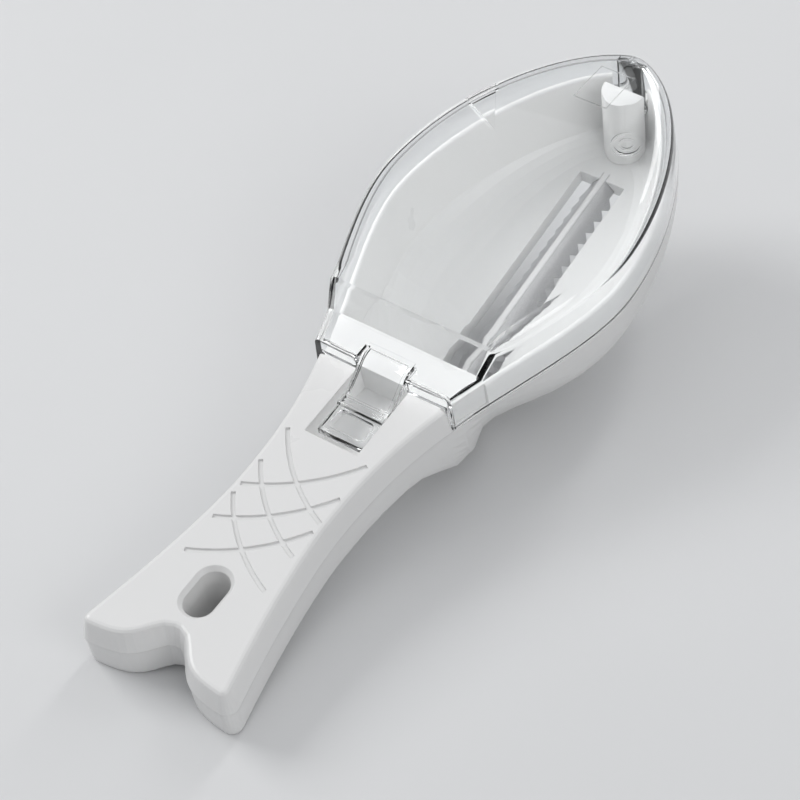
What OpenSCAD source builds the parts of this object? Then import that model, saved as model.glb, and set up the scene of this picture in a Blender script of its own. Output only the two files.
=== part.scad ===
// Fish scaler with a clear scale-catching cover, in millimetres.
//
// A white lower shell is half a handle and a whole boat-shaped head in one
// moulding. A white upper shell closes the handle. A clear cover closes the
// head: a tongue at its nose hooks behind a lip, its rear tongue latches in a
// pocket of the handle, and it swings up about the nose to be emptied. Two
// saw-toothed steel strips are moulded into the ridge between two slots in
// the floor of the head, so that the scales come up through the slots.
//
// The parts are drawn in the tool's own frame: X runs from the tail to the
// nose, Z = 0 is the top face of the handle. The last step lays the tool down
// as it rests, on its tail and on the heel of the head.

/* [Overall] */
// Length of the handle, from the tail to the rear edge of the cover
handle_l = 98.5; // [88:0.5:110]
// Width of the head at its widest
head_w = 77.6; // [64:0.2:90]
// From the rear edge of the cover to where the head is widest
belly_d = 59.5; // [52:0.5:68]
// Width of the handle at its waist
neck_w = 32; // [26:0.2:38]
// Where the waist is, from the tail
neck_x = 54; // [48:1:60]
// Width across the two lobes of the tail
tail_w = 48; // [42:0.5:54]
// Depth of the notch between the lobes
notch_d = 10.9; // [7:0.1:13]

/* [Handle] */
// Thickness of the handle
handle_t = 17.4; // [15:0.5:19]
// Depth of the seam below the top face
seam_d = 7.5; // [6.5:0.1:8.5]
// Wall of the two handle shells
wall_h = 2.6; // [2:0.1:3]
// Width of the hanging slot
hang_w = 8.6; // [6:0.2:10]
// Length of the hanging slot
hang_l = 14.6; // [11:0.2:18]
// Middle of the hanging slot, from the tail
hang_x = 21.4; // [19:0.2:24]
// Width of the pressed lines of the scale pattern
groove_w = 1.2; // [0.8:0.1:1.5]
// Depth of the pressed lines
groove_d = 0.5; // [0.3:0.1:0.8]
// Length of the latch pocket
pocket_l = 25; // [22:0.5:28]
// Width of the latch pocket
pocket_w = 16.6; // [14:0.2:19]
// Depth of the latch pocket
pocket_d = 9; // [8:0.1:10]

/* [Head] */
// Wall of the head
wall = 2.2; // [1.6:0.1:2.8]
// Level of the floor at its rear end, below the handle's top
floor_z = 33.5; // [30:0.5:36]
// Slope of the floor against the handle, in degrees
floor_tilt = 6.7; // [4:0.1:8]
// From the rear edge of the cover to the two slots
slot_d = 31.5; // [28:0.5:36]
// Length of the two slots
slot_l = 76.4; // [66:0.2:88]
// From the slots to the tip of the nose
nose_l = 23.6; // [20:0.2:28]
// Width of one slot
slot_w = 6.4; // [5.6:0.1:7.2]
// Width of the ridge between the slots
ridge_w = 2; // [1.8:0.1:2.6]
// Depth of the keel from the floor down
keel_d = 4.6; // [4:0.1:5.6]

/* [Cover] */
// Wall of the clear cover
cover_t = 2; // [1.6:0.1:2.4]
// Height of the cover's top above the handle
cover_h = 12.2; // [10:0.2:15]
// Height of the low rear step of the cover above the handle
step_h = 5; // [4:0.2:6.5]
// Width of the latch tongue
tongue_w = 14.4; // [12:0.2:15]

/* [Blades] */
// Thickness of a strip
blade_t = 0.8; // [0.6:0.1:1.2]
// Visible width of a strip, to the tips of its teeth
blade_w = 5.8; // [5:0.1:6.4]
// Lean of a strip from the vertical, in degrees
blade_lean = 38; // [30:1:44]
// Pitch of the teeth
tooth_p = 4.4; // [3.6:0.1:5.4]
// Depth of the teeth
tooth_d = 2.6; // [2:0.1:3.2]

/* [Hidden] */
gap = 0.3;
seam_z = -seam_d;
cut = 1;
flare = 2.7;
heel_flare = 1.25;
tray_t = 1.8;
tray_w = pocket_w + 2 * tray_t;
// Stations from the tail: the head is laid out from the rear edge of the cover
cover_x = handle_l;
slot_x = cover_x + slot_d;
total_l = slot_x + slot_l + nose_l;
belly_x = cover_x + belly_d;
pocket_x = cover_x + 1.5 - pocket_l;
heel_a = cover_x - 14.5;
heel_b = cover_x + 9.5;
deck_x = cover_x + 13.5;
ramp_x = cover_x + 10.5;
crest_x = cover_x + 19.5;
flare_x = belly_x - 8;
round_x = belly_x + 12;
side_flare = 7;
tail_round = 2.2;
bow = 0.2;

// The side of the outline, seen from above
corner_r = 3.4;
corner_a = 77;
function smooth(t) = t * t * (3 - 2 * t);
function tail_x(y) = -3 + notch_d / (1 + pow(abs(y) / 6.5, 2.5));
corner_y = tail_w / 2 - corner_r - 0.1;
corner_x = tail_x(corner_y) + corner_r;
side_x = corner_x + corner_r * cos(corner_a);
side_y = corner_y + corner_r * sin(corner_a);
function half_w(x) =
    x < neck_x ? neck_w / 2 + (side_y - neck_w / 2)
            * pow((neck_x - x) / (neck_x - side_x), 1.5)
    : x < belly_x ? neck_w / 2 + (head_w - neck_w) / 2
            * smooth(pow((x - neck_x) / (belly_x - neck_x), 1.3))
    : head_w / 2 * pow(max(0, 1 - pow((x - belly_x) / (total_l - belly_x), 1.75)), 0.61);

// One half of the handle's outline, from its front end round to the notch
n_side = 22;
n_end = 10;
function handle_half(xf) = concat(
    [for (i = [0:n_side]) let (x = xf + (side_x - xf) * i / n_side) [x, half_w(x)]],
    [for (a = [corner_a + 17:17:170]) [corner_x + corner_r * cos(a), corner_y + corner_r * sin(a)]],
    [for (i = [0:n_end]) let (y = corner_y * pow(1 - i / (n_end + 0.6), 1.15)) [tail_x(y), y]]);
function unit(v) = v / norm(v);
function inward(p, i, first, last) = let (
        a = p[max(i - 1, 0)], b = p[min(i + 1, len(p) - 1)], d = unit(b - a))
    i == 0 ? first : i == len(p) - 1 ? last : [-d[1], d[0]];
function inset_half(p, d) = [for (i = [0:len(p) - 1]) p[i] + inward(p, i, [0, -1], [1, 0]) * d];
function both(p) = concat(p, [for (i = [len(p) - 1:-1:0]) [p[i][0], -p[i][1]]]);
function at_z(p, z) = [for (q = p) [q[0], q[1], z]];
function mirrored(h) = concat(h, [for (i = [len(h) - 1:-1:0]) [h[i][0], -h[i][1], h[i][2]]]);

// Triangles between two chains of points, a and b, that end in the same point
function zip(a, b, i = 0, j = 0) = i + j == len(a) + len(b) - 3 ? []
    : j == len(b) - 1 || (i < len(a) - 1 && (i + 1) / len(a) <= (j + 1) / len(b))
    ? concat([[a[i], a[i + 1], b[j]]], zip(a, b, i + 1, j))
    : concat([[a[i], b[j + 1], b[j]]], zip(a, b, i, j + 1));

// A lid on a ring of m points, whose point i mirrors point m - 1 - i: strips from side
// to side as far as point k, then the two fins of the tail, each zipped to its rear edge
function lid(m, k) = let (n = m / 2, c = n - n_end - 3) concat(
    [for (i = [0:1:k - 1]) each [[i, i + 1, m - 1 - i], [i + 1, m - 2 - i, m - 1 - i]]],
    k == n - 1 ? [] : let (fin = zip([for (i = [k:c]) i], [for (i = [n - 1:-1:c]) i]))
        concat([[k, n - 1, m - 1 - k], [n - 1, n, m - 1 - k]], fin,
            [for (t = fin) [m - 1 - t[0], m - 1 - t[2], m - 1 - t[1]]]));
function notch_k(half) = len([for (p = half) if (p[0] > tail_x(0) + 4.5) p]) - 1;

// A skin through closed rings, with a lid on the first and on the last
module skin(rings, k = undef) {
    m = len(rings[0]);
    n = len(rings);
    o = (n - 1) * m;
    top = lid(m, is_undef(k) ? m / 2 - 1 : k);
    polyhedron(points = [for (r = rings) each r], faces = concat(
        [for (j = [0:n - 2]) for (i = [0:m - 1]) let (k = (i + 1) % m)
            each [[j * m + i, j * m + k, (j + 1) * m + k],
                [j * m + i, (j + 1) * m + k, (j + 1) * m + i]]],
        [for (t = top) [t[0], t[2], t[1]]],
        [for (t = top) [o + t[0], o + t[1], o + t[2]]]));
}

// A piece of the handle between levels, given as pairs of level and inset.
module handle_slab(xf, levels) {
    skin([for (l = levels) at_z(both(inset_half(handle_half(xf), l[1])), l[0])],
        notch_k(handle_half(xf)));
}

// The hollow of the handle seen from above: it follows the sides and ends before the notch
module hollow_2d(xf) {
    x0 = tail_x(0) + wall_h;
    polygon(both([for (i = [0:12]) let (x = xf + (x0 - xf) * i / 12) [x, half_w(x) - wall_h - 1]]));
}

// Stations along the head, crowded towards the round nose
n_head = 26;
function head_x(x0, x1, i) = x0 + (x1 - x0) * sin(90 * i / n_head);

// The floor frame: its X runs along the sloping floor from the rear of the slots
module on_floor() translate([slot_x, 0, -floor_z]) rotate([0, -floor_tilt, 0]) children();
function floor_at(x) = -floor_z + (x - slot_x) * tan(floor_tilt);

// The outside of the lower shell in one skin: from the rim, its sides round into the
// flat bottom of the handle, or sweep in to the keel of the head
keel_hw = ridge_w / 2 + slot_w + 3.2;
function part_of(x, a, b) = smooth(max(0, min(1, (x - a) / (b - a))));
function hull_half() = concat(
    [for (i = [n_head:-1:1]) let (x = head_x(deck_x, total_l - 0.05, i)) [x, half_w(x)]],
    handle_half(deck_x));
function under(x, p, n, t) = let (
    b = part_of(x, heel_a, heel_b),
    s = max(0, min(1, (x - heel_b) / (total_l - heel_b))),
    far = slot_x - 6.5,
    near = slot_x + slot_l + 7.5,
    f = side_flare + (heel_flare - side_flare) * b + (flare - heel_flare) * part_of(x, heel_b, flare_x),
    g = pow(1 - pow(t, f), 1 / f),
    edge = p + n * 0.3 * (1 - part_of(x, cover_x - 6, cover_x)),
    h = p + n * tail_round,
    k = [far + (near - far) * s, max(0.3, (keel_hw + 1.2) * pow(1 - pow(s, 12), 0.5))],
    q = h + (k - h) * b,
    z = -handle_t + (floor_at(k[0]) - wall + handle_t) * b)
    [q[0] + (edge[0] - q[0]) * g, q[1] + (edge[1] - q[1]) * g, seam_z + (z - seam_z) * t];
steps = [0, 0.15, 0.3, 0.45, 0.58, 0.69, 0.79, 0.87, 0.935, 0.98, 1];
function level(t) = let (rim = hull_half()) [for (i = [0:len(rim) - 1])
    under(rim[i][0], rim[i], inward(rim, i, [-1, 0], [1, 0]), t)];
module outside() skin([for (t = steps) mirrored(level(t))], notch_k(hull_half()));

// The room in the head: its own rim and floor, a wall inside those of the skin,
// and the same sweep between them
function rim_half(x0, d) = concat(
    [for (i = [n_head:-1:0]) let (x = head_x(x0, total_l - d * 1.05 - 0.05, i))
        [x, max(0.5, half_w(min(x + d * pow((x - x0) / (total_l - x0), 6), total_l - 0.05)) - d)]],
    [for (v = [0.8, 0.6, 0.4, 0.2]) [x0 - bow * (1 - v * v), (half_w(x0) - d) * v]]);
function keel_half(x0, x1, w) = concat(
    [for (i = [n_head:-1:0]) let (s = sin(90 * i / n_head))
        [x0 + (x1 - x0) * s, max(0.3, w * pow(1 - pow(s, 12), 0.5))]],
    [for (v = [0.8, 0.6, 0.4, 0.2]) [x0 - bow * (1 - v * v), w * v]]);
module room() {
    rim = rim_half(deck_x, wall);
    keel = keel_half(slot_x - 2.5, slot_x + slot_l + 3, ridge_w / 2 + slot_w + 1.4);
    skin(concat([at_z(both(rim), seam_z + 10)],
        [for (t = steps) mirrored([for (i = [0:len(rim) - 1]) let (
                f = heel_flare + (flare - heel_flare) * part_of(rim[i][0], heel_b, flare_x),
                g = pow(1 - pow(t, f), 1 / f),
                q = keel[i] + (rim[i] - keel[i]) * g)
            [q[0], q[1], seam_z + (t == 0 ? 0.5 : (floor_at(keel[i][0]) - seam_z) * t)]])]));
}

module slot_2d(w, l) {
    square([l - w, w], center = true);
    for (s = [-1, 1]) translate([s * (l - w) / 2, 0]) circle(d = w, $fn = 48);
}

// The keel below the floor, a frame round the two slots
module keel_2d(e) {
    x0 = -5 - e;
    x1 = slot_l + 5 + e;
    r = 3;
    translate([x0 + r, -keel_hw - e]) square([x1 - x0 - 2 * r, 2 * (keel_hw + e)]);
    translate([x0, -keel_hw - e + r]) square([x1 - x0, 2 * (keel_hw + e - r)]);
    for (x = [x0 + r, x1 - r]) for (s = [-1, 1])
        translate([x, s * (keel_hw + e - r)]) circle(r = r, $fn = 32);
}

// A strip in the floor frame: its upper edge sits in the ridge, its ends in the keel
module strip(side) {
    n = floor((slot_l - 2) / tooth_p);
    over = (slot_l + 5 - n * tooth_p) / 2;
    root = blade_w - tooth_d;
    mirror([0, side > 0 ? 0 : 1, 0]) translate([-2.5, ridge_w / 2 + 0.5, -1.2])
        rotate([blade_lean - 90, 0, 0]) translate([0, 0, -blade_t / 2])
            linear_extrude(blade_t) polygon(concat([[0, -1.3], [0, root]],
                [for (i = [0:n - 1]) each [[over + i * tooth_p, root], [over + (i + 0.5) * tooth_p, blade_w]]],
                [[over + n * tooth_p, root], [slot_l + 5, root], [slot_l + 5, -1.3]]));
}

module lower_shell_shape() color([0.94, 0.94, 0.93]) {
    difference() {
        union() {
            outside();
            on_floor() translate([0, 0, -keel_d]) linear_extrude(keel_d + 1) keel_2d(0);
        }
        // The hollow of the handle, round a wall for the hanging slot, and room for the
        // tray of the latch pocket, which reaches down past the seam
        difference() {
            translate([0, 0, -handle_t + wall_h]) linear_extrude(handle_t) hollow_2d(heel_a + 2);
            translate([hang_x, 0, -handle_t]) linear_extrude(handle_t)
                slot_2d(hang_w + 2 * wall_h, hang_l + 2 * wall_h);
            for (x = [hang_x + 19, hang_x + 37]) translate([x, -head_w / 2, -handle_t])
                cube([1.8, head_w, handle_t + seam_z - 0.5]);
        }
        translate([heel_a, -tray_w / 2 - gap, -pocket_d - tray_t - gap])
            cube([pocket_x + pocket_l + tray_t + gap - heel_a, tray_w + 2 * gap, pocket_d]);
        // The room for the scales
        room();
        for (s = [-1, 1]) on_floor()
            translate([0, s > 0 ? ridge_w / 2 : -ridge_w / 2 - slot_w, -keel_d - 4])
                cube([slot_l, slot_w, keel_d + 8]);
        for (s = [-1, 1]) on_floor() strip(s);
        lay_slot(-handle_t - cut, cut, hang_w, hang_l);
    }
    // The post behind the cover's hook, and the lip that the hook's nib sits under
    intersection() {
        translate([total_l - 12.5, 0, floor_at(total_l - 14) - 0.4])
            cylinder(d = 9.8, h = -floor_at(total_l - 14) + 0.4, $fn = 64);
        translate([total_l - 30, -10, -handle_t * 3]) cube([19.5, 20, handle_t * 4]);
    }
    translate([total_l - 5, -3.6, seam_z - 1.7]) cube([3.4, 7.2, 1.5]);
}

module lay_slot(z0, z1, w, l) translate([hang_x, 0, z0]) linear_extrude(z1 - z0) slot_2d(w, l);

// Pressed lines: arcs of one radius that cross the handle, three from each side
line_r = 56;
line_gap = 11.9;
line_y = 34;
module line_arc(x, side) {
    a0 = 180 - asin((line_y + 12.6) / line_r);
    a1 = 180 - asin((line_y - 12.6) / line_r);
    translate([x, side * -line_y, -groove_d]) other_side(side) linear_extrude(groove_d + cut)
        polygon(concat(
            [for (i = [0:14]) let (a = a0 + (a1 - a0) * i / 14) (line_r + groove_w / 2) * [cos(a), sin(a)]],
            [for (i = [14:-1:0]) let (a = a0 + (a1 - a0) * i / 14) (line_r - groove_w / 2) * [cos(a), sin(a)]]));
}
module other_side(side) mirror([0, side > 0 ? 0 : 1, 0]) children();

module handle_shell_shape() color([0.95, 0.95, 0.94]) {
    difference() {
        union() {
            difference() {
                handle_slab(deck_x, [[0, 2.9], [-0.2, 2.2], [-0.7, 1.6], [-1.6, 1.3], [seam_z, 0]]);
                translate([0, 0, seam_z - cut]) linear_extrude(seam_d + cut - wall_h)
                    hollow_2d(cover_x - wall_h - gap);
            }
            lay_slot(seam_z, -cut, hang_w + 2 * wall_h, hang_l + 2 * wall_h);
            translate([pocket_x - tray_t, -tray_w / 2, -pocket_d - tray_t])
                cube([pocket_l + 2 * tray_t, tray_w, pocket_d + tray_t - cut]);
        }
        lay_slot(seam_z - cut, cut, hang_w, hang_l);
        hull() {
            lay_slot(-1.2, -1.1, hang_w, hang_l);
            lay_slot(0, 0.1, hang_w + 2.2, hang_l + 2.2);
        }
        translate([pocket_x, 0, 0]) rotate([90, 0, 90]) linear_extrude(pocket_l)
            polygon([[-pocket_w / 2 + 0.8, -pocket_d], [pocket_w / 2 - 0.8, -pocket_d],
                [pocket_w / 2, -1.2], [pocket_w / 2, cut], [-pocket_w / 2, cut], [-pocket_w / 2, -1.2]]);
        for (i = [0:2]) for (s = [-1, 1]) line_arc(pocket_x + 5.7 + i * line_gap, s);
        // Room at both sides for the legs of the cover
        for (s = [-1, 1]) translate([0, 0, seam_z - cut]) other_side(s) linear_extrude(seam_d + 2 * cut)
            polygon(concat([for (i = [0:6]) let (x = cover_x - gap + (deck_x + cut - cover_x + gap) * i / 6)
                [x, half_w(x) - cover_t - 1.3]], [[deck_x + cut, head_w], [cover_x - gap, head_w]]));
    }
}

// The cover: rings that step in from the rim, up steep walls and round a shoulder
n_cover = 38;
crown = 0.6;
base_z = seam_z + gap;
function roof(x) = x < ramp_x ? step_h
    : x < crest_x ? step_h + (cover_h - step_h) * (x - ramp_x) / (crest_x - ramp_x) : cover_h;
function lean_in(x) = 0.5 + 0.7 * part_of(x, round_x, total_l);
function shoulder(x) = 1.8 + 2.6 * part_of(x, ramp_x, crest_x + 4) + part_of(x, round_x, total_l);
// One ring: t is the inset of the skin, a the angle round the shoulder (below 0 on the wall)
function cover_ring(x0, t, a, k) = let (
        p = [for (i = [n_cover:-1:0]) let (x = x0 + (total_l - 0.05 - x0) * sin(90 * i / n_cover))
            [x, half_w(x)]],
        h = [for (i = [0:len(p) - 1]) let (
            x = p[i][0], r = shoulder(x) - 0.8 * t,
            d = t + (a < 0 ? lean_in(x) * (1 + a / 2) : lean_in(x) + r * (1 - cos(a))),
            q = p[i] + inward(p, i, [-1, 0], [0, -1]) * d,
            top = roof(q[0]) - t, low = base_z - (t > 0 ? cut : 0),
            z = a < 0 ? low + (top - r - low) * (1 + a / 2) : top - r + r * sin(a))
            [q[0], max(0.3, q[1]) * k, z + crown * (1 - k) * min(1, q[1] / 20)]],
        c = h[len(h) - 1])
    mirrored(concat(h, [for (v = [0.8, 0.6, 0.4, 0.2]) [c[0] - bow * (1 - v * v), c[1] * v, c[2]]]));
module dome(x0, t) {
    skin(concat([for (k = [0.3, 0.65]) cover_ring(x0, t, 90, k)],
        [for (a = [90, 73, 55, 37, 18, 0, -1, -2]) cover_ring(x0, t, a, 1)]));
}

slit = 0.9;
pad_x = pocket_x + 3.7;
pad_z = -2.4;
hook_w = 8;
hook_z = seam_z - 4.9;
// The latch tongue: a curved plate between two side ribs, then the finger pad with a bar
// across it and a shallow pan behind the bar
function slide(dz) = [for (p = [[2.8, step_h], [1.2, 3.7], [-0.8, 2], [-2.8, 0.4], [-4.8, -1.1], [-6.8, -2.4]])
    [cover_x + p[0], p[1] + dz]];
module across(w, y = 0) translate([0, y + w / 2, 0]) rotate([90, 0, 0]) linear_extrude(w) children();
module tongue() {
    pan_l = cover_x - 11.6 - pad_x - 1.8;
    difference() {
        across(tongue_w) polygon(concat([[cover_x + 6, step_h]], slide(0),
            [[cover_x - 7.6, pad_z], [cover_x - 7.6, pad_z + 0.7], [cover_x - 10.7, pad_z + 0.7],
            [cover_x - 11, pad_z], [pad_x + 0.5, pad_z], [pad_x, pad_z - 0.5], [pad_x, pad_z - 2.6],
            [cover_x - 6.6, pad_z - 2.6], [cover_x - 4.6, -3.2], [cover_x - 2.4, -1.6], [cover_x, 0.3],
            [cover_x + 2, 1.9], [cover_x + 3.4, step_h - cover_t], [cover_x + 6, step_h - cover_t]]));
        translate([pad_x + 1.8 + pan_l / 2, 0, pad_z - 1.1]) linear_extrude(2) pan_2d(pan_l, tongue_w - 3, 1.5);
    }
    for (s = [-1, 1]) across(1, s * (tongue_w / 2 - 0.5)) polygon(concat(slide(0.9),
        [for (i = [5:-1:0]) slide(-0.6)[i]]));
}
module pan_2d(l, w, r) {
    square([l, w - 2 * r], center = true);
    square([l - 2 * r, w], center = true);
    for (x = [-1, 1]) for (y = [-1, 1]) translate([x * (l / 2 - r), y * (w / 2 - r)]) circle(r = r, $fn = 32);
}

module cover_shape() color([0.8, 0.9, 0.95, 0.4]) {
    difference() {
        dome(cover_x, 0);
        dome(cover_x + cover_t, cover_t);
        translate([cover_x - cut, -half_w(cover_x) + cover_t, base_z - cut])
            cube([cover_t + 2 * cut, 2 * (half_w(cover_x) - cover_t), cut - base_z + gap]);
        translate([cover_x - cut, -tongue_w / 2 - slit, base_z])
            cube([cut + 5, tongue_w + 2 * slit, 30]);
        // The mould's gate mark, and the small facet in the left shoulder
        translate([total_l - 37, -17.6, cover_h + 0.05]) difference() {
            cylinder(d = 9, h = 3, $fn = 48);
            translate([0, 0, -cut]) cylinder(d = 6.2, h = 5, $fn = 48);
        }
        translate([total_l - 49.8, 17.3, cover_h + 0.5]) rotate([0, 7, 47]) rotate([90, 0, 90])
            linear_extrude(20) polygon([[0, 0], [20, 6.4], [-20, 6.4]]);
    }
    tongue();
    // The hook at the nose, from the roof down, and its nib
    translate([total_l - 7.6, -hook_w / 2, hook_z]) cube([2.1, hook_w, cover_h - 0.65 * cover_t - hook_z]);
    translate([total_l - 5.8, -hook_w / 2, hook_z]) cube([1.2, hook_w, 2]);
}
module blade_shape(side) color([0.7, 0.7, 0.72]) on_floor() strip(side);

// At rest: the tool lies on the rear edge of the tail and on the heel of the keel
heel_x = slot_x - 5 * cos(floor_tilt) + keel_d * sin(floor_tilt);
heel_z = floor_z + 5 * sin(floor_tilt) + keel_d * cos(floor_tilt);
rest_x = tail_x(corner_y) + tail_round;
rest_tilt = atan((heel_z - handle_t) / (heel_x - rest_x));
module rest() translate([-total_l / 2, 0, heel_z * cos(rest_tilt) - heel_x * sin(rest_tilt)])
    rotate([0, -rest_tilt, 0]) children();
module lower_shell() rest() lower_shell_shape();
module handle_shell() rest() handle_shell_shape();
module cover() rest() cover_shape();
module blade_left() rest() blade_shape(1);
module blade_right() rest() blade_shape(-1);

lower_shell();
handle_shell();
cover();
blade_left();
blade_right();
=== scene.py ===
# %% [markdown]
# # A fish scaler under a clear cover
#
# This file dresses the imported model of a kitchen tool: a white moulded handle that widens
# into a scale box, two saw-tooth strips in the box's floor, and a clear domed cover over
# it. The solids come from the frame and keep their places. Made here are the finishes, a
# finer cover with its mould marks, the rim and the post inside it, the floor, the lamps
# and the camera.

# %% Load the frame
import math

import bmesh
import bpy
import numpy as np
from mathutils import Matrix, Vector


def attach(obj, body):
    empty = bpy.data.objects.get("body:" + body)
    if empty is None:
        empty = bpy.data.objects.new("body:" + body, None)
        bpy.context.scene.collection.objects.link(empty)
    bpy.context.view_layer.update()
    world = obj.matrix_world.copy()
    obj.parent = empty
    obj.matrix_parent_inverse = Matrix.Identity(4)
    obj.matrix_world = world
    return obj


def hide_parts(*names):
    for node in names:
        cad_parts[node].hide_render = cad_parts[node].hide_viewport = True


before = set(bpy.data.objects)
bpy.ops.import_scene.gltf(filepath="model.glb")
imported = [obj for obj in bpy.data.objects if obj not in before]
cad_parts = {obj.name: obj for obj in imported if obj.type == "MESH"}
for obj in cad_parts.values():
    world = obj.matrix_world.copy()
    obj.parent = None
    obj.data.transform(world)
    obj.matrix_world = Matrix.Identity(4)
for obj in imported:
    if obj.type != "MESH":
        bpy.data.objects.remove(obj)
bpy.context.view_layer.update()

# %% [markdown]
# The camera comes first, because every later choice is judged through it. The place was
# found by fitting the outline of the tool, so it is written as a position, the three
# directions of the view, and a long lens. A long lens from far away keeps the two long
# sides of the handle nearly parallel, as a product shot does. The fit gave the lens in
# pixels of a square frame, and the sensor's width turns that into millimetres.

# %% Camera
sensor_width = 36.0
lens_pixels = 2600
frame_pixels = 800
right = Vector((0.572815, -0.819651, -0.007446))
up = Vector((0.568307, 0.390584, 0.724204))
back = Vector((-0.590686, -0.419066, 0.689546))
place = Matrix((right, up, back)).transposed().to_4x4()
place.translation = (-0.420086, -0.290987, 0.499257)

cam_data = bpy.data.cameras.new("camera")
cam_data.sensor_width = sensor_width
cam_data.lens = sensor_width * lens_pixels / frame_pixels
cam_data.clip_start = 0.01
cam = bpy.data.objects.new("camera", cam_data)
bpy.context.scene.collection.objects.link(cam)
cam.matrix_world = place
bpy.context.scene.camera = cam
print("lens", round(cam_data.lens, 1), "mm, camera height", round(place.translation.z, 3), "m")

# %% [markdown]
# ## Helpers for the finishes
#
# Each finish is a small net of nodes, and the same few steps come back in all of them: a
# noise in the object's own space, a way to turn it into a range of numbers or into two
# close colours, and a bump made from it. Each step is a helper, so that a finish reads as
# a short list. Most of what a noise gives lies near its middle, so only that stretch is
# spread out.

# %% Node helpers
noise_middle = (0.3, 0.7)
tint_middle = (0.35, 0.65)
bevel_samples = 6


def new_material(name):
    mat = bpy.data.materials.new(name)
    mat.use_nodes = True
    nodes = mat.node_tree.nodes
    nodes.clear()
    out = nodes.new("ShaderNodeOutputMaterial")
    shader = nodes.new("ShaderNodeBsdfPrincipled")
    mat.node_tree.links.new(shader.outputs[0], out.inputs["Surface"])
    return mat, nodes, mat.node_tree.links, shader


def noise(nodes, links, scale, detail=3.0, stretch=(1, 1, 1)):
    where = nodes.new("ShaderNodeTexCoord")
    squeeze = nodes.new("ShaderNodeMapping")
    squeeze.inputs["Scale"].default_value = stretch
    tex = nodes.new("ShaderNodeTexNoise")
    tex.inputs["Scale"].default_value = scale
    tex.inputs["Detail"].default_value = detail
    links.new(where.outputs["Object"], squeeze.inputs["Vector"])
    links.new(squeeze.outputs["Vector"], tex.inputs["Vector"])
    return tex.outputs["Fac"]


def between(nodes, links, factor, low, high):
    """The middle of a noise, spread over the numbers from low to high."""
    spread = nodes.new("ShaderNodeMapRange")
    spread.inputs["From Min"].default_value = noise_middle[0]
    spread.inputs["From Max"].default_value = noise_middle[1]
    spread.inputs["To Min"].default_value = low
    spread.inputs["To Max"].default_value = high
    links.new(factor, spread.inputs["Value"])
    return spread.outputs["Result"]


def colour_ramp(nodes, links, factor, places, colours):
    """A smooth change between two colours, from the first place to the second."""
    ramp = nodes.new("ShaderNodeValToRGB")
    for i in (0, 1):
        ramp.color_ramp.elements[i].position = places[i]
        ramp.color_ramp.elements[i].color = (*colours[i], 1)
    links.new(factor, ramp.inputs["Fac"])
    return ramp.outputs["Color"]


def relief(nodes, links, height, strength, depth, soft_edge=0.0):
    """A bump; with soft_edge, sharp edges are shaded as if rounded by that radius."""
    bump = nodes.new("ShaderNodeBump")
    bump.inputs["Strength"].default_value = strength
    bump.inputs["Distance"].default_value = depth
    links.new(height, bump.inputs["Height"])
    if soft_edge:
        bevel = nodes.new("ShaderNodeBevel")
        bevel.samples = bevel_samples
        bevel.inputs["Radius"].default_value = soft_edge
        links.new(bevel.outputs["Normal"], bump.inputs["Normal"])
    return bump.outputs["Normal"]


print("node helpers ready, a noise is spread between", *noise_middle)

# %% [markdown]
# ## The white plastic
#
# The handle and the box are one white: a semi-gloss moulded plastic. Real mouldings are
# never one flat colour. The surface has a very fine orange peel, and hands and washing
# leave areas a little duller than others. So the finish takes its roughness from slow
# noise, its colour from slower and much fainter noise, and its bump from fine noise.
# The Bevel node rounds the shading of the sharp moulded edges by a fraction of a
# millimetre, which gives them the thin bright line that real edges catch.

# %% White plastic
plastic_ior = 1.49


def white_plastic(name, shade):
    mat, nodes, links, shader = new_material(name)
    shader.inputs["IOR"].default_value = plastic_ior
    faded = [c * 0.985 for c in shade]
    blotches = noise(nodes, links, scale=14)
    colour = colour_ramp(nodes, links, blotches, tint_middle, (shade, faded))
    links.new(colour, shader.inputs["Base Color"])
    handling = noise(nodes, links, scale=32, detail=4)
    links.new(between(nodes, links, handling, low=0.26, high=0.36), shader.inputs["Roughness"])
    peel = noise(nodes, links, scale=900, detail=2)
    bump = relief(nodes, links, peel, strength=0.12, depth=0.00012, soft_edge=0.00035)
    links.new(bump, shader.inputs["Normal"])
    return mat


white = white_plastic("white_plastic", (0.78, 0.78, 0.775))
print("white plastic:", len(white.node_tree.nodes), "nodes")

# %% [markdown]
# ## The clear plastic
#
# The cover is clear styrene-like plastic. A see-through part can be faked with a mix of
# transparent and glossy shaders, which is fast, but then it doesn't bend what lies behind
# it. Here the cover is a real shell with two skins, so a transmitting shader with a real
# index of refraction gives the bright rims and the bent lines at its edges by itself.
# The roughness stays low, with a faint haze where hands have rubbed it.

# %% Clear plastic
def clear_plastic(name, haze):
    mat, nodes, links, shader = new_material(name)
    shader.inputs["IOR"].default_value = plastic_ior
    shader.inputs["Transmission Weight"].default_value = 1.0
    blotches = noise(nodes, links, scale=9)
    shades = ((0.985, 0.992, 0.995), (0.97, 0.984, 0.99))
    colour = colour_ramp(nodes, links, blotches, tint_middle, shades)
    links.new(colour, shader.inputs["Base Color"])
    rubbing = noise(nodes, links, scale=40, detail=5)
    links.new(between(nodes, links, rubbing, low=0.0, high=haze), shader.inputs["Roughness"])
    ripple = noise(nodes, links, scale=45, detail=1)
    bump = relief(nodes, links, ripple, strength=0.012, depth=0.0002)
    links.new(bump, shader.inputs["Normal"])
    return mat


clear = clear_plastic("clear_cover", haze=0.035)
print("clear cover:", len(clear.node_tree.nodes), "nodes")

# %% [markdown]
# ## The strips
#
# The toothed strips are stamped from sheet steel and brushed along their length. Noise that
# is squeezed hard across the strip reads as brushing, in the colour, in the roughness and,
# very faintly, in the surface.

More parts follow.
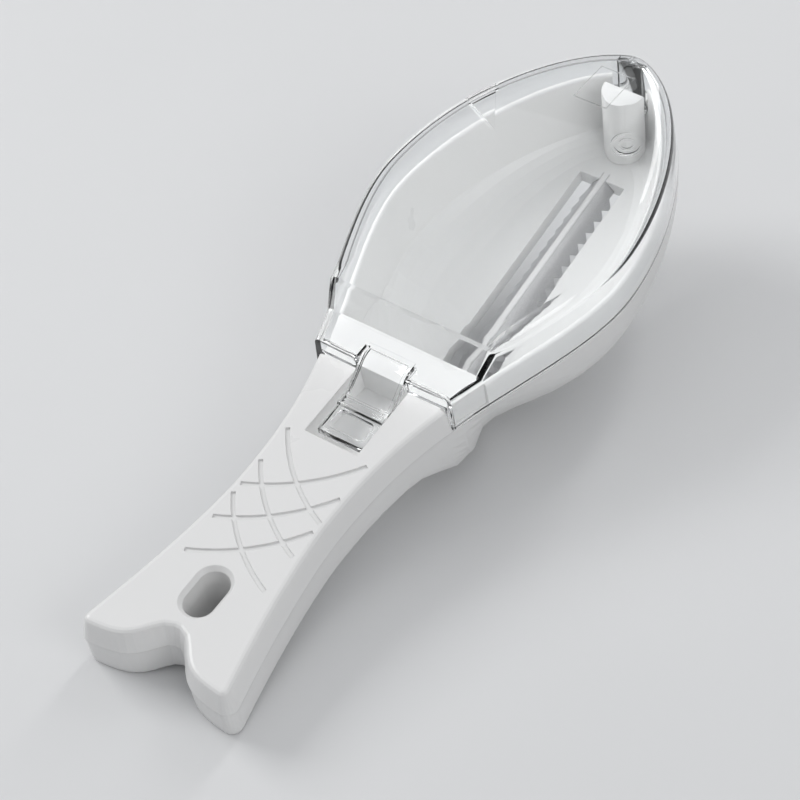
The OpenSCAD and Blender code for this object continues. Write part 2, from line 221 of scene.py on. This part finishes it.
# %% Strip steel
def strip_steel(name):
    mat, nodes, links, shader = new_material(name)
    shader.inputs["Metallic"].default_value = 1.0
    lines = noise(nodes, links, scale=220, detail=2, stretch=(0.5, 30, 30))
    shades = ((0.55, 0.55, 0.56), (0.63, 0.63, 0.64))
    colour = colour_ramp(nodes, links, lines, tint_middle, shades)
    links.new(colour, shader.inputs["Base Color"])
    links.new(between(nodes, links, lines, low=0.30, high=0.38), shader.inputs["Roughness"])
    bump = relief(nodes, links, lines, strength=0.05, depth=0.00003, soft_edge=0.0001)
    links.new(bump, shader.inputs["Normal"])
    return mat


steel = strip_steel("strip_steel")
print("strip steel:", len(steel.node_tree.nodes), "nodes")

# %% [markdown]
# ## The cover
#
# The cover decides the picture, so it isn't left to the facets of the solid: light that
# bends through a shell shows every flat. It is built here again from its own rule, with many
# more points. Seen from above it is the outline of the head. Every ring of points is that
# outline, moved in along its normals, at one height. Outer rings and inner rings, a wall
# apart, make two closed bodies, and the shell is the difference of the two.
#
# The points are written in the tool's own frame, in millimetres, with X from the tail to the
# nose and Z = 0 at the top of the handle. One function lays them down as the tool rests.

# %% From the tool's frame to the scene
rest_tilt = math.radians(9.5897)
tool_middle, rest_lift = 115, 17.193
nose_x, cover_x, belly_x, neck_x = 230.0, 98.5, 158.0, 54.0
belly_half, neck_half, neck_to_belly = 38.8, 16, 22.8
nose_bend, nose_blunt, neck_bend = 1.75, 0.61, 1.3


def lay(points):
    """Millimetres in the tool's frame to metres in the scene."""
    p = np.asarray(points, float)
    x, y, z = p[..., 0], p[..., 1], p[..., 2]
    c, s = math.cos(rest_tilt), math.sin(rest_tilt)
    return np.stack([x * c - z * s - tool_middle, y, x * s + z * c + rest_lift], -1) / 1000


def ease(x, a, b):
    """0 up to a, 1 from b on, and a smooth change between them."""
    t = np.clip((np.asarray(x, float) - a) / (b - a), 0, 1)
    return t * t * (3 - 2 * t)


def half_width(x):
    """Half the width of the head at x: one curve up to the belly, one on to the nose."""
    x = np.asarray(x, float)
    to_nose = np.clip((x - belly_x) / (nose_x - belly_x), 0, 1)
    front = belly_half * np.clip(1 - to_nose ** nose_bend, 0, 1) ** nose_blunt
    to_belly = np.clip((x - neck_x) / (belly_x - neck_x), 0, 1)
    rear = neck_half + neck_to_belly * ease(to_belly ** neck_bend, 0, 1)
    return np.where(x < belly_x, rear, front)


print("half width at the cover's rear edge", round(float(half_width(cover_x)), 2), "mm")

# %% [markdown]
# A mesh is a list of points and a list of faces that count into it. The helpers make those
# lists for the three kinds of body that the cover needs: one lofted through rings, one drawn
# out from a profile, and one cut from another. Each mesh has its double points merged and
# its faces turned outwards before it is used, because a boolean asks for a closed body.

# %% Outline, normals and meshes
def outline(x0, count, x1=nose_x - 0.05):
    """Half of the head seen from above, from the nose back to x0, with its inward normals."""
    x = x0 + (x1 - x0) * np.sin(np.pi / 2 * np.arange(count, -1, -1) / count)
    edge = np.stack([x, half_width(x)], -1)
    along = np.gradient(edge, axis=0)
    along /= np.linalg.norm(along, axis=1, keepdims=True)
    inward = np.stack([-along[:, 1], along[:, 0]], -1)
    inward[0] = (-1, 0)
    inward[-1] = (0, -1)
    return edge, inward


def mesh_object(name, verts, faces):
    mesh = bpy.data.meshes.new(name)
    mesh.from_pydata([tuple(v) for v in lay(verts)], [], faces)
    mesh.validate()
    bm = bmesh.new()
    bm.from_mesh(mesh)
    bmesh.ops.remove_doubles(bm, verts=bm.verts, dist=1e-7)
    bmesh.ops.recalc_face_normals(bm, faces=bm.faces)
    if bm.calc_volume(signed=True) < 0:
        bmesh.ops.reverse_faces(bm, faces=bm.faces)
    bm.to_mesh(mesh)
    bm.free()
    obj = bpy.data.objects.new(name, mesh)
    bpy.context.scene.collection.objects.link(obj)
    return obj


def loft(name, rings):
    """A closed body through rings of the same number of points, with a lid at both ends."""
    m = len(rings[0])
    faces = [(j * m + i, j * m + (i + 1) % m, (j + 1) * m + (i + 1) % m, (j + 1) * m + i)
             for j in range(len(rings) - 1) for i in range(m)]
    for o in (0, (len(rings) - 1) * m):
        faces += [(o + i, o + i + 1, o + m - 2 - i, o + m - 1 - i) for i in range(m // 2 - 1)]
    return mesh_object(name, np.concatenate(rings), faces)


def bar(name, profile, y0, y1):
    """A profile in X and Z, drawn out across the tool from y0 to y1."""
    k = len(profile)
    verts = [(x, y, z) for y in (y0, y1) for x, z in profile]
    faces = [tuple(range(k)), tuple(range(2 * k - 1, k - 1, -1))]
    faces += [(i, i + k, (i + 1) % k + k, (i + 1) % k) for i in range(k)]
    return mesh_object(name, verts, faces)


def block(x0, x1, z0, z1):
    """A rectangle as a profile for a bar."""
    return [(x0, z0), (x1, z0), (x1, z1), (x0, z1)]


def apply_modifiers(obj):
    bpy.context.view_layer.update()
    shaped = obj.evaluated_get(bpy.context.evaluated_depsgraph_get())
    done = bpy.data.meshes.new_from_object(shaped)
    obj.modifiers.clear()
    obj.data = done


def carve(body, tool, how="DIFFERENCE"):
    """One solid minus, or plus, another; the second is used up."""
    mod = body.modifiers.new("carve", "BOOLEAN")
    mod.operation = how
    mod.object = tool
    mod.solver = "EXACT"
    apply_modifiers(body)
    bpy.data.objects.remove(tool, do_unlink=True)


def open_edges(obj):
    bm = bmesh.new()
    bm.from_mesh(obj.data)
    count = sum(1 for edge in bm.edges if not edge.is_manifold)
    bm.free()
    return count


def tell(words, obj):
    print(words, len(obj.data.polygons), "faces,", open_edges(obj), "open edges")


print("helpers ready, outline of", len(outline(cover_x, 48)[0]), "points a side")

# %% [markdown]
# The roof steps up from a low deck at the rear, over a short ramp, and sinks a little towards
# the nose. Both folds of the ramp get a point in every ring, so they run straight across.
# The rings of the flat roof draw in a little along the tool as well, because rings that met
# at the nose would leave faces with no area, and a boolean can't cut those.
#
# The number of points in a ring decides whether the cuts that follow leave the shell closed,
# so each cell that changes the shell prints how many open edges it has.

# %% The rings of the dome
ring_points = 62
cover_wall = 2
ramp_x, crest_x, round_x, nose_turn_x, drop_x = 109, 114, 122, 170, 175
deck_z, ramp_rise, nose_drop, skirt_z = 5, 7.2, 4, -7.2
deck_round, ramp_round, round_loss = 1.8, 2.6, 0.8
draw_in_x, draw_in = 164, 0.03
least_half, rear_bow = 0.3, 0.2
roof_shares = (0.15, 0.35, 0.55, 0.75, 0.9)
shoulder_and_wall = (90, 78, 66, 54, 42, 30, 18, 8, 0, -0.5, -1, -1.5, -2)


def roof_height(x):
    roof = deck_z + ramp_rise * np.clip((x - ramp_x) / (crest_x - ramp_x), 0, 1)
    return roof - nose_drop * np.clip((x - drop_x) / (nose_x - drop_x), 0, 1) ** 2


def wall_lean(x):
    """How far the cover's wall leans in between its foot and its shoulder."""
    return 0.5 + 0.7 * ease(x, nose_turn_x, nose_x)


def dome_ring(x0, t, angle, keep=1.0):
    """One ring of the dome's skin, seen from above a closed line.

    t is how far the skin lies inside the outer one. The angle goes round the shoulder
    from 90 down to 0, and then down the wall to -2. A ring of the roof keeps only a
    share of its width.
    """
    edge, inward = outline(x0, ring_points)
    lean = wall_lean(edge[:, 0])
    r = deck_round + ramp_round * ease(edge[:, 0], ramp_x, round_x)
    r = r + ease(edge[:, 0], nose_turn_x, nose_x) - round_loss * t
    if angle < 0:
        inset = t + lean * (1 + angle / 2)
    else:
        inset = t + lean + r * (1 - math.cos(math.radians(angle)))
    ring = edge + inward * np.reshape(inset, (-1, 1))
    x = draw_in_x + (ring[:, 0] - draw_in_x) * (1 - draw_in * (1 - keep))
    y = np.maximum(least_half, ring[:, 1])
    for kink in (ramp_x, crest_x):
        i = np.abs(x - kink).argmin()
        y[i] = np.interp(kink, x[::-1], y[::-1])
        x[i] = kink
    top = roof_height(x) - t
    low = skirt_z - (1 if t else 0)
    if angle < 0:
        z = low + (top - r - low) * (1 + angle / 2)
    else:
        z = top - r + r * math.sin(math.radians(angle))
    half = np.stack([x, y * keep, z], -1)
    rear_x, rear_y, rear_z = half[-1]
    rear = [(rear_x - rear_bow * (1 - v * v), rear_y * v, rear_z) for v in (0.8, 0.6, 0.4, 0.2)]
    half = np.concatenate([half, rear])
    return np.concatenate([half, half[::-1] * (1, -1, 1)])


def dome(name, x0, t):
    rings = [dome_ring(x0, t, 90, share) for share in roof_shares]
    rings += [dome_ring(x0, t, angle) for angle in shoulder_and_wall]
    return loft(name, rings)


cover = dome("clear_cover_shell", cover_x, 0)
carve(cover, dome("inside", cover_x + cover_wall, cover_wall))
tell("cover shell", cover)

# %% [markdown]
# The rear of the cover is open at the bottom, so that it straddles the handle, and two slits
# free the latch tongue. The tongue is one curved plate between two low ribs. It dips into the
# pocket and ends in a finger pad with a bar across it and a shallow pan behind the bar.

# %% Rear opening, tongue and pad
straddle = float(half_width(cover_x)) - cover_wall
slit_half, tongue_half, channel_half, pan_half, line_half = 8.1, 7.2, 6.1, 5.7, 6
rib_height = 0.9
gap_side = block(97, 101, -9, 0.3)
slit_side = block(97, 103.5, -9, 30)
carve(cover, bar("gap", gap_side, -straddle, straddle))
carve(cover, bar("slits", slit_side, -slit_half, slit_half))


def through(points, steps=4):
    """A smooth line that passes through every one of the points."""
    p = np.array([points[0], *points, points[-1]], float)
    out = []
    for a, b, c, d in zip(p, p[1:], p[2:], p[3:]):
        for u in np.arange(steps) / steps:
            out.append(0.5 * (2 * b + (c - a) * u + (2 * a - 5 * b + 4 * c - d) * u * u
                              + (3 * b - a - 3 * c + d) * u ** 3))
    return out + [p[-1]]


upper = through([(101.3, 4.3), (99.7, 3.6), (97.7, 2.0), (95.7, 0.4), (93.7, -1.1), (91.7, -2.4)])
under = through([(91.9, -5.0), (93.9, -3.2), (96.1, -1.6), (98.5, 0.3), (100.5, 1.9), (101.9, 3.0)])
ribs = [(x, z + rib_height) for x, z in upper]
pad = [(90.9, -1.5), (90.7, -1.35), (88.1, -1.35), (87.8, -1.55), (87.6, -2.4), (79.3, -2.4),
       (78.85, -2.6), (78.7, -3.0), (78.7, -4.6), (79.1, -5.0)]
tongue_side = [(104.5, 5.2)] + ribs + pad + under + [(104.5, 3.0)]
channel_side = [(102.9, 4.7)] + upper + [(91.1, -2.4), (91.1, 7), (102.9, 7)]
tongue = bar("tongue", tongue_side, -tongue_half, tongue_half)
carve(tongue, bar("channel", channel_side, -channel_half, channel_half))


def pan(name, x0, x1, w, r, z0, z1):
    """A block from x0 to x1, w to both sides, with upright corners of radius r."""
    corners = [(x1 - r, w - r, 0), (x0 + r, w - r, 90), (x0 + r, r - w, 180), (x1 - r, r - w, 270)]
    ring = [(cx + r * math.cos(math.radians(a0 + a)), cy + r * math.sin(math.radians(a0 + a)))
            for cx, cy, a0 in corners for a in range(0, 91, 15)]
    k = len(ring)
    verts = [(x, y, z0) for x, y in ring] + [(x, y, z1) for x, y in ring]
    faces = [tuple(range(k)), tuple(range(2 * k - 1, k - 1, -1))]
    faces += [(i, (i + 1) % k, (i + 1) % k + k, i + k) for i in range(k)]
    return mesh_object(name, verts, faces)


carve(tongue, pan("pan", x0=80.6, x1=86.9, w=pan_half, r=1.5, z0=-3.5, z1=0))
for x in (88.75, 90.05):
    line_side = [(x - 0.25, -1.75), (x + 0.25, -1.75), (x + 0.35, -1), (x - 0.35, -1)]
    carve(tongue, bar("line", line_side, -line_half, line_half))
carve(cover, tongue, "UNION")
tell("cover with its tongue", cover)

# %% [markdown]
# The form of the dome is whole now, so this is the time to roll its sharp edges: a moulded
# edge is never a true corner, and in clear plastic each rolled edge becomes a thin bright
# line.

# %% Rolled edges
def edge_roll(obj, width, angle=40):
    """Rounds every edge that bends more than the angle, by a width in metres."""
    mod = obj.modifiers.new("edges", "BEVEL")
    mod.width = width
    mod.segments = 2
    mod.limit_method = "ANGLE"
    mod.angle_limit = math.radians(angle)
    mod.use_clamp_overlap = True
    apply_modifiers(obj)


edge_roll(cover, 0.00022)
tell("cover with rolled edges", cover)

# %% [markdown]
# The mould left its marks on the outside: the ring of the gate, the thin lines of an insert
# above the hook, and a small folded facet in the left shoulder. Light picks out such lines,
# so they are cut and not painted. They are cut after the edges are rolled, because a rolled
# edge on so small a mark would swallow it.

# %% Mould marks
gate_x, gate_y = 193, -17.6
gate_z = float(roof_height(gate_x))
insert_rear, insert_front, insert_half = 202, 217, 5.4
line_width, line_depth = 0.3, 0.15
above_roof = 14


def tube(name, x, y, r0, r1, z0, z1, n=64):
    """An upright tube of inner radius r0 and outer radius r1."""
    turn = [(math.cos(2 * math.pi * i / n), math.sin(2 * math.pi * i / n)) for i in range(n)]
    corners = ((r1, z0), (r1, z1), (r0, z1), (r0, z0))
    verts = [(x + r * c, y + r * s, z) for r, z in corners for c, s in turn]
    faces = [(j * n + i, j * n + (i + 1) % n, (j + 1) % 4 * n + (i + 1) % n, (j + 1) % 4 * n + i)
             for j in range(4) for i in range(n)]
    return mesh_object(name, verts, faces)


carve(cover, tube("gate_out", gate_x, gate_y, r0=3.6, r1=4.5, z0=gate_z - 0.25, z1=gate_z + 3))
carve(cover, tube("gate_in", gate_x, gate_y, r0=1.6, r1=2.3, z0=gate_z - 0.18, z1=gate_z + 3))
print("gate ring at", round(gate_z, 2), "mm above the handle")

insert_side = [(x, roof_height(x) - line_depth) for x in range(insert_rear, insert_front + 1, 3)]
insert_side += [(insert_front, above_roof), (insert_rear, above_roof)]
for y in (-insert_half, insert_half - line_width):
    carve(cover, bar("insert_side", insert_side, y, y + line_width))
for x in (insert_rear, insert_front - line_width):
    end = block(x, x + line_width, roof_height(x) - line_depth, above_roof)
    carve(cover, bar("insert_end", end, -insert_half, insert_half))


def facet(name, tip, one, two, step, drop, top):
    """A shallow fold: a small step at the tip that sinks by drop on the way to the two arms."""
    corners = ((tip, step), (one, drop), (two, drop))
    ring = [(x, y, roof_height(x) - sunk) for (x, y), sunk in corners]
    verts = ring + [(x, y, top) for x, y, _ in ring]
    faces = [(0, 1, 2), (3, 5, 4), (0, 3, 4, 1), (1, 4, 5, 2), (2, 5, 3, 0)]
    return mesh_object(name, verts, faces)


fold = facet("fold", tip=(180.2, 17.3), one=(189.2, 36.6), two=(200.7, 30.0),
             step=0.25, drop=2.2, top=16)
carve(cover, fold)
tell("marks cut,", cover)

# %% [markdown]
# At the nose a hook hangs from the roof behind the white post. On the real cover it is part
# of the moulding. Here it is a body of its own that ends at the inner skin: joining two clear
# bodies in so narrow a place leaves slivers, and light would show each of them.
#
# The two clear bodies cast no shadow. A renderer that follows light from the camera finds
# hardly any of it through bent skins, and would draw a dark shadow where a real clear cover
# throws next to none.

# %% Finish of the cover, and its hook
def smooth_shade(obj, limit):
    """Shades across every edge that bends less than the limit, in degrees."""
    mesh = obj.data
    mesh.shade_smooth()
    mesh.set_sharp_from_angle(angle=math.radians(limit))
    mesh.update()


def wear(obj, mat):
    obj.data.materials.clear()
    obj.data.materials.append(mat)


hook_side = [(222.4, -12.4), (224.5, -12.4), (225.4, -12.0), (225.4, -10.4), (224.5, -10.2),
             (224.5, 6.6), (222.4, 7.1)]
hook_half = 4
hook = bar("cover_hook", hook_side, -hook_half, hook_half)
edge_roll(hook, 0.0003)
for piece in (cover, hook):
    wear(piece, clear)
    smooth_shade(piece, limit=35)
    piece.visible_shadow = False
    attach(piece, "clear_cover")
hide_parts("cover")
print("cover piece", len(cover.data.vertices), "vertices")

# %% [markdown]
# ## The rim inside the cover
#
# The white box doesn't end at the joint line. A thin wall stands up inside the skirt of the
# cover, as high as the top of the handle, and keeps the cover from sliding sideways. Inside
# it runs down smoothly into the side of the box. The box is shallow at the rear and deep in
# the middle, so the wall is drawn from a shallow section that turns into a deep one. It stops
# short of the nose at both sides, to leave the hook its way.

# %% Rim wall
rim_rear_x, rim_nose_x, rim_points = 111.2, 227.2, 60
hook_room = 8.2
shallow_x, deep_x = 116, 150
rim_top = [(1.5, -7.65, 0), (2.33, -7.6, 0), (2.36, -0.9, 0.55), (2.55, -0.25, 0.6),
           (2.85, 0, 0.6), (3.5, 0, 0.6), (3.85, -0.25, 0.6), (4.05, -0.9, 0.6)]
shallow_side = [(4.1, -8, 0.4), (4.2, -10, 0.3), (4.4, -12, 0.2), (4.8, -14.6, 0),
                (3.6, -14.3, 0), (2.8, -11.5, 0), (1.5, -8.4, 0)]
deep_side = [(4.2, -8, 0.4), (4.6, -14, 0.2), (5.3, -20, 0.1), (6.0, -24.5, 0),
             (4.6, -24.5, 0), (2.2, -16, 0), (1.5, -9, 0)]


def rim_wall(name, side):
    """A corner of the section is its inset, its height, and its share of the cover's lean."""
    edge, inward = outline(rim_rear_x, rim_points, rim_nose_x)
    beside_hook = edge[:, 1] > hook_room
    edge = edge[beside_hook]
    inward = inward[beside_hook]
    lean = wall_lean(edge[:, 0])
    go = ease(edge[:, 0], shallow_x, deep_x)[:, None]
    section = list(zip(rim_top + shallow_side, rim_top + deep_side))
    rows = []
    for one, two in section:
        inset, height, share = (np.array(one) * (1 - go) + np.array(two) * go).T
        rows.append(np.column_stack([edge + inward * (inset + share * lean)[:, None], height]))
    m = len(edge)
    k = len(section)
    verts = np.concatenate(rows) * (1, side, 1)
    faces = [(j * m + i, j * m + i + 1, (j + 1) % k * m + i + 1, (j + 1) % k * m + i)
             for j in range(k) for i in range(m - 1)]
    faces += [tuple(j * m for j in range(k)), tuple(j * m + m - 1 for j in range(k))]
    return mesh_object(name, verts, faces)


for side, word in ((1, "left"), (-1, "right")):
    rim = rim_wall("rim_wall_" + word, side)
    wear(rim, white)
    smooth_shade(rim, 40)
    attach(rim, "tool")
    print(rim.name, len(rim.data.vertices), "vertices")

# %% [markdown]
# The post at the nose is a stout half column, flat towards the hook and round towards the
# slots. It stands from the floor of the box up to the level of the rim. It is a stack of
# levels: a flared foot at the bottom, and a small rounding at the top.

# %% Nose post
def nose_post(name, x0=219.5, r=6.5, foot=-27.5):
    """Each level is a height and how far the half column grows there."""
    levels = [(foot, 1.3), (foot + 1.0, 0.55), (foot + 2.4, 0),
              (-0.45, 0), (-0.12, -0.12), (0, -0.45)]
    ring = [(x0, -r), (x0, r)] + [(x0 - r * math.sin(math.radians(a)), r * math.cos(math.radians(a)))
                                  for a in range(6, 180, 6)]
    k = len(ring)
    verts = []
    for z, grow in levels:
        for x, y in ring:
            out = Vector((x - x0, y)).normalized()
            verts.append((x + min(0, out.x) * grow, y + out.y * grow, z))
    faces = [tuple(range(k)), tuple((len(levels) - 1) * k + i for i in range(k))]
    faces += [(j * k + i, j * k + (i + 1) % k, (j + 1) * k + (i + 1) % k, (j + 1) * k + i)
              for j in range(len(levels) - 1) for i in range(k)]
    return mesh_object(name, verts, faces)


post = nose_post("nose_post")
wear(post, white)
smooth_shade(post, 35)
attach(post, "tool")
print("post", len(post.data.vertices), "vertices")

# %% [markdown]
# ## Dressing the solids
#
# The solids come in as meshes with flat facets on their curved skins. More facets would be
# one cure, and rebuilding every skin here another. The facets are small, though, so it is
# enough to shade across every edge that bends less than a limit and to keep the real
# edges sharp. That changes no vertex, so the solids keep their exact places.

# %% Smooth shading and materials on the solids
finish = {"lower_shell": white, "handle_shell": white, "blade_left": steel, "blade_right": steel}
for node, mat in finish.items():
    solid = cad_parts[node]
    wear(solid, mat)
    smooth_shade(solid, 28)
    print(node, len(solid.data.vertices), "vertices,", len(solid.data.polygons), "faces")

# %% [markdown]
# ## Floor and light
#
# A pale, plain sweep: a floor that curves up into a back wall far behind the tool, so no
# horizon line shows. It is one strip of faces, drawn out along the way that the camera looks
# and turned up at its far end.

# %% Sweep
away = Vector((0.8157, 0.5784))
floor_gap = 0.00002


def sweep(name, deep=1.4, wide=2.6, high=1.6, turn=0.45):
    """Sizes in metres: how far back, how far to each side, how high, and the bend's radius."""
    line = [(-wide * 0.7, 0.0), (deep - turn, 0.0)]
    line += [(deep - turn + turn * math.sin(a), turn - turn * math.cos(a))
             for a in (math.radians(9 * i) for i in range(1, 11))]
    line.append((deep, high))
    side = Vector((-away.y, away.x))
    bm = bmesh.new()
    rows = []
    for d, z in line:
        rows.append([bm.verts.new((*(away * d + side * s * wide), z - floor_gap)) for s in (-1, 1)])
    for a, b in zip(rows, rows[1:]):
        bm.faces.new((a[0], b[0], b[1], a[1]))
    bmesh.ops.recalc_face_normals(bm, faces=bm.faces)
    mesh = bpy.data.meshes.new(name)
    bm.to_mesh(mesh)
    bm.free()
    mesh.shade_smooth()
    obj = bpy.data.objects.new(name, mesh)
    bpy.context.scene.collection.objects.link(obj)
    return obj


paper, nodes, links, shader = new_material("pale_sweep")
shades = ((0.70, 0.705, 0.71), (0.685, 0.69, 0.695))
colour = colour_ramp(nodes, links, noise(nodes, links, scale=3), tint_middle, shades)
links.new(colour, shader.inputs["Base Color"])
matt = between(nodes, links, noise(nodes, links, scale=8), low=0.55, high=0.7)
links.new(matt, shader.inputs["Roughness"])
floor = sweep("floor")
wear(floor, paper)

# %% [markdown]
# The light is soft. A large box of light stands to one side as the key, a weaker one fills
# the other side, and a long narrow one hangs behind, because a clear dome shows its form
# mainly by the lights that it mirrors. Round them is a room that is dim at the horizon and
# bright overhead, so that the dome has something to bend.

# %% Lamps and surroundings
def soft_box(name, place, aim, size, power):
    lamp = bpy.data.lights.new(name, "AREA")
    lamp.shape = "RECTANGLE"
    lamp.size, lamp.size_y = size
    lamp.energy = power
    obj = bpy.data.objects.new(name, lamp)
    obj.location = place
    obj.rotation_euler = (Vector(aim) - Vector(place)).to_track_quat("-Z", "Y").to_euler()
    bpy.context.scene.collection.objects.link(obj)


soft_box("key", place=(-0.15, 0.95, 0.75), aim=(0.02, 0, 0.03), size=(0.7, 0.5), power=6.6)
soft_box("fill", place=(-0.25, -0.95, 0.70), aim=(0.02, 0, 0.03), size=(0.8, 0.5), power=2.8)
soft_box("strip", place=(0.85, 0.10, 0.60), aim=(0.03, 0, 0.04), size=(0.16, 0.9), power=2.2)


def surroundings(low, high):
    """A grey sky from low at the horizon to high overhead, each with a trace of blue."""
    world = bpy.data.worlds.new("surroundings")
    world.use_nodes = True
    nodes, links = world.node_tree.nodes, world.node_tree.links
    split = nodes.new("ShaderNodeSeparateXYZ")
    links.new(nodes.new("ShaderNodeTexCoord").outputs["Generated"], split.inputs[0])
    shades = ((low, low, low * 1.03), (high * 0.97, high * 0.98, high))
    sky = colour_ramp(nodes, links, split.outputs["Z"], (0.05, 0.7), shades)
    links.new(sky, nodes["Background"].inputs["Color"])
    return world


bpy.context.scene.world = surroundings(low=0.12, high=0.62)
bpy.context.scene.view_settings.view_transform = "Standard"
